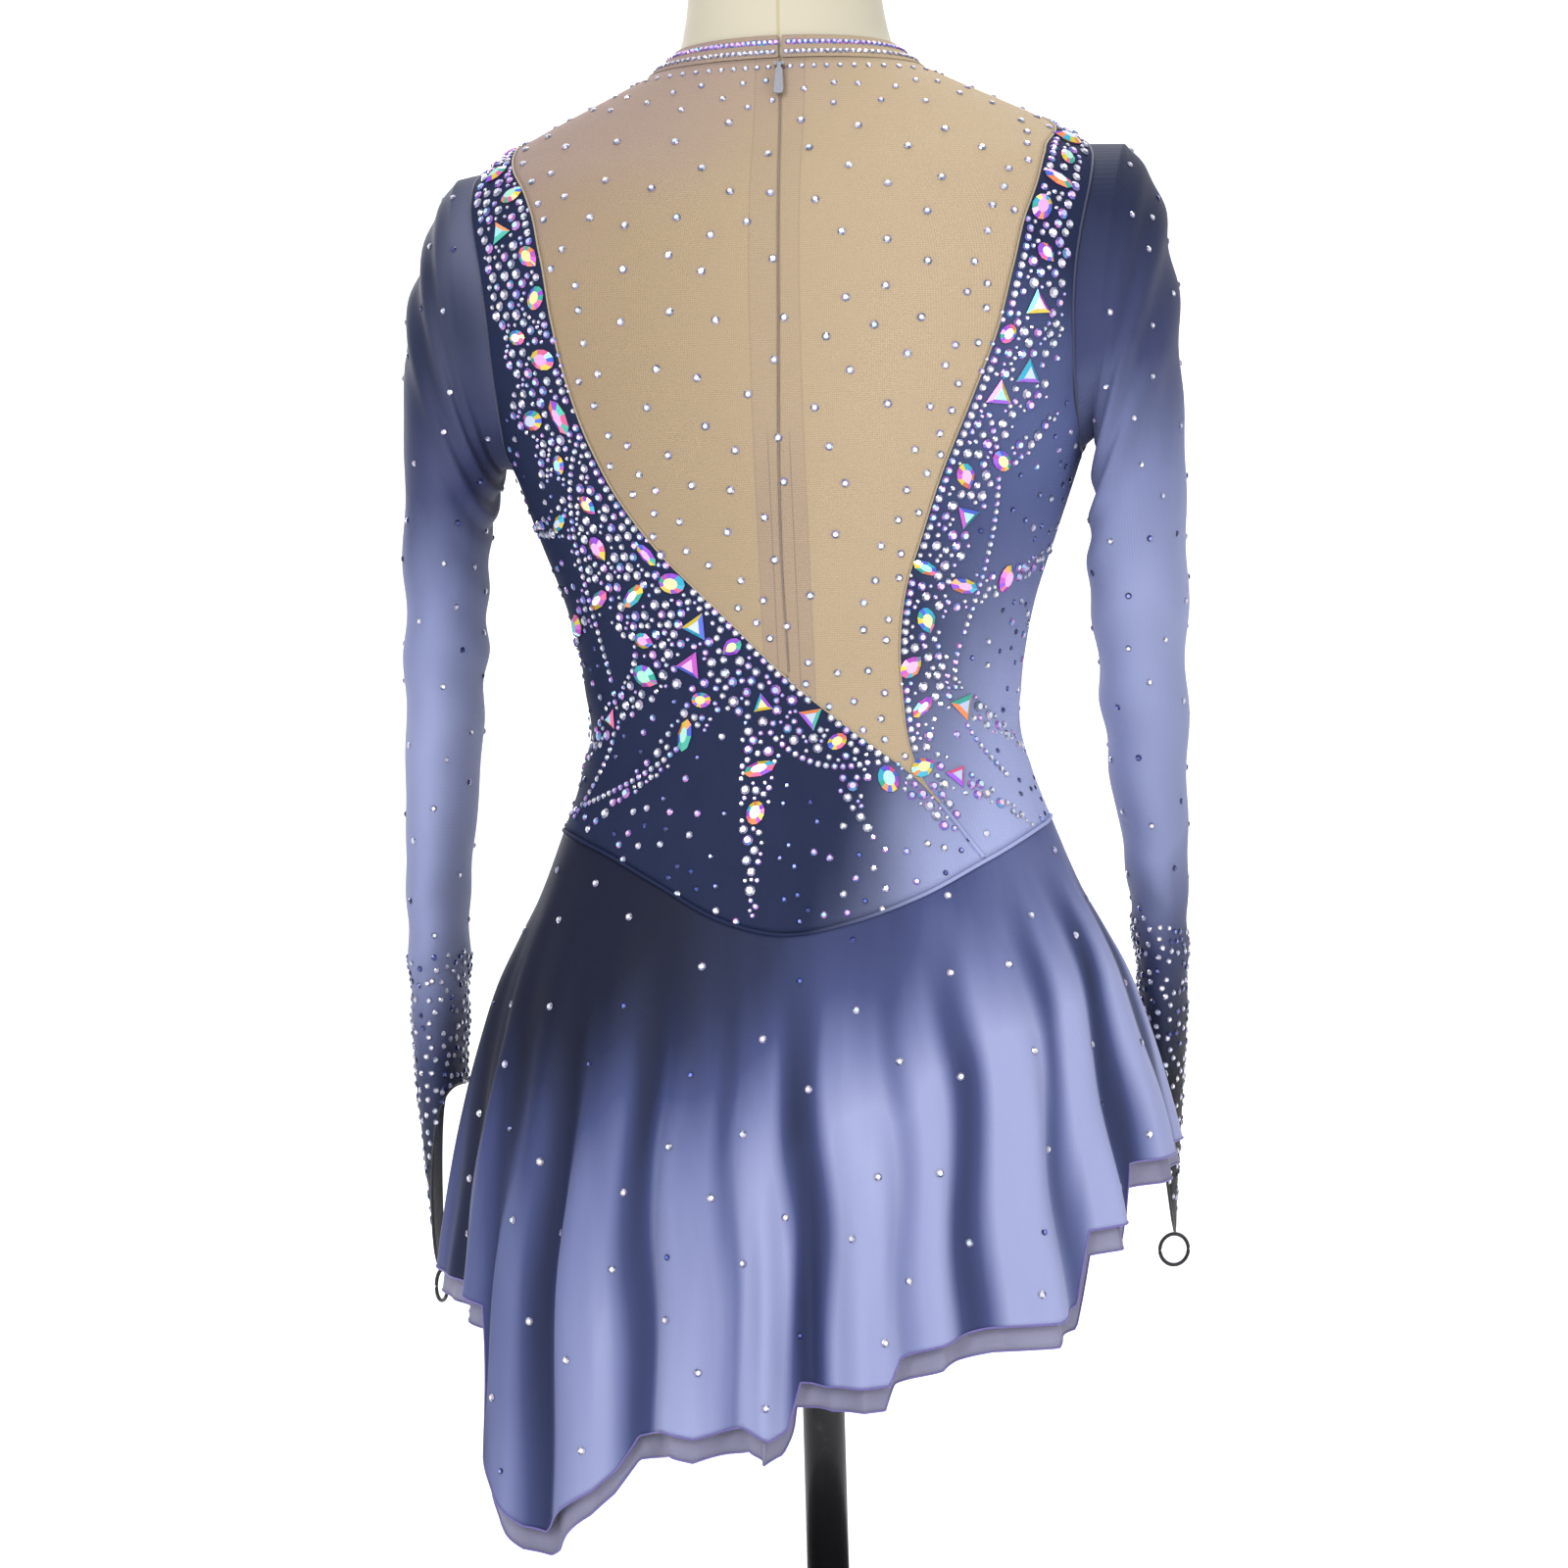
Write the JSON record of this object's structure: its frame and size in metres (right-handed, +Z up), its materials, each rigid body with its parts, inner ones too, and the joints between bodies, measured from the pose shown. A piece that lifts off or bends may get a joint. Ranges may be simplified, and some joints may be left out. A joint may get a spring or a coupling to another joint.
{
  "type": "figure skating dress on a limbless dress form",
  "caption": "Long-sleeved backless-look skating dress with pointed cuffs, sheer back and handkerchief-hem skirt, standing on a limbless dress form with a round base.",
  "frame": {"origin": "centre of the stand base's underside, on the floor", "axes": "+Z up; the back of the dress with its zip faces -Y; +X is to the right when the back is looked at"},
  "size_m": [0.458, 0.3018, 0.97],
  "materials": {
    "form_cloth": "smooth cream cover of a dress form",
    "stand_metal": "black powder coat",
    "bodice_cloth": "dark slate stretch cloth, dyed lighter to one hip",
    "sheer_mesh": "nude sheer stretch mesh",
    "skirt_cloth": "thin cloth dyed from navy to periwinkle",
    "under_cloth": "sheer grey-lilac cloth",
    "sleeve_cloth": "stretch mesh dyed navy to periwinkle to black at the cuff",
    "elastic_cord": "black covered elastic",
    "stones": "faceted stones with a rainbow coating",
    "zip_tape_cloth": "mauve woven tape",
    "zip_metal": "small bright metal"
  },
  "bodies": {
    "dress": {"dress_form": "form_cloth", "stand_base": "stand_metal", "stand_pole": "stand_metal", "collar_band": "sheer_mesh", "back_mesh_left": "sheer_mesh", "back_mesh_right": "sheer_mesh", "back_panel_left": "bodice_cloth", "back_panel_right": "bodice_cloth", "front_mesh_yoke": "sheer_mesh", "front_bodice": "bodice_cloth", "skirt_outer": "skirt_cloth", "skirt_under": "under_cloth", "sleeve_left": "sleeve_cloth", "sleeve_right": "sleeve_cloth", "finger_loop_left": "elastic_cord", "finger_loop_right": "elastic_cord", "stone_band_left": "stones", "stone_band_right": "stones", "waist_piping": "bodice_cloth", "zip_tape": "zip_tape_cloth", "zip_slider": "zip_metal"},
    "pull": {"zip_pull": "zip_metal"}
  },
  "joints": [
    {"name": "zip_pull_swing", "type": "hinge", "parent": "dress", "child": "pull", "pos_m": [0.00356, -0.06186, 0.90052], "axis": [-1, 0, 0], "range_deg": [0, 140]}
  ]
}
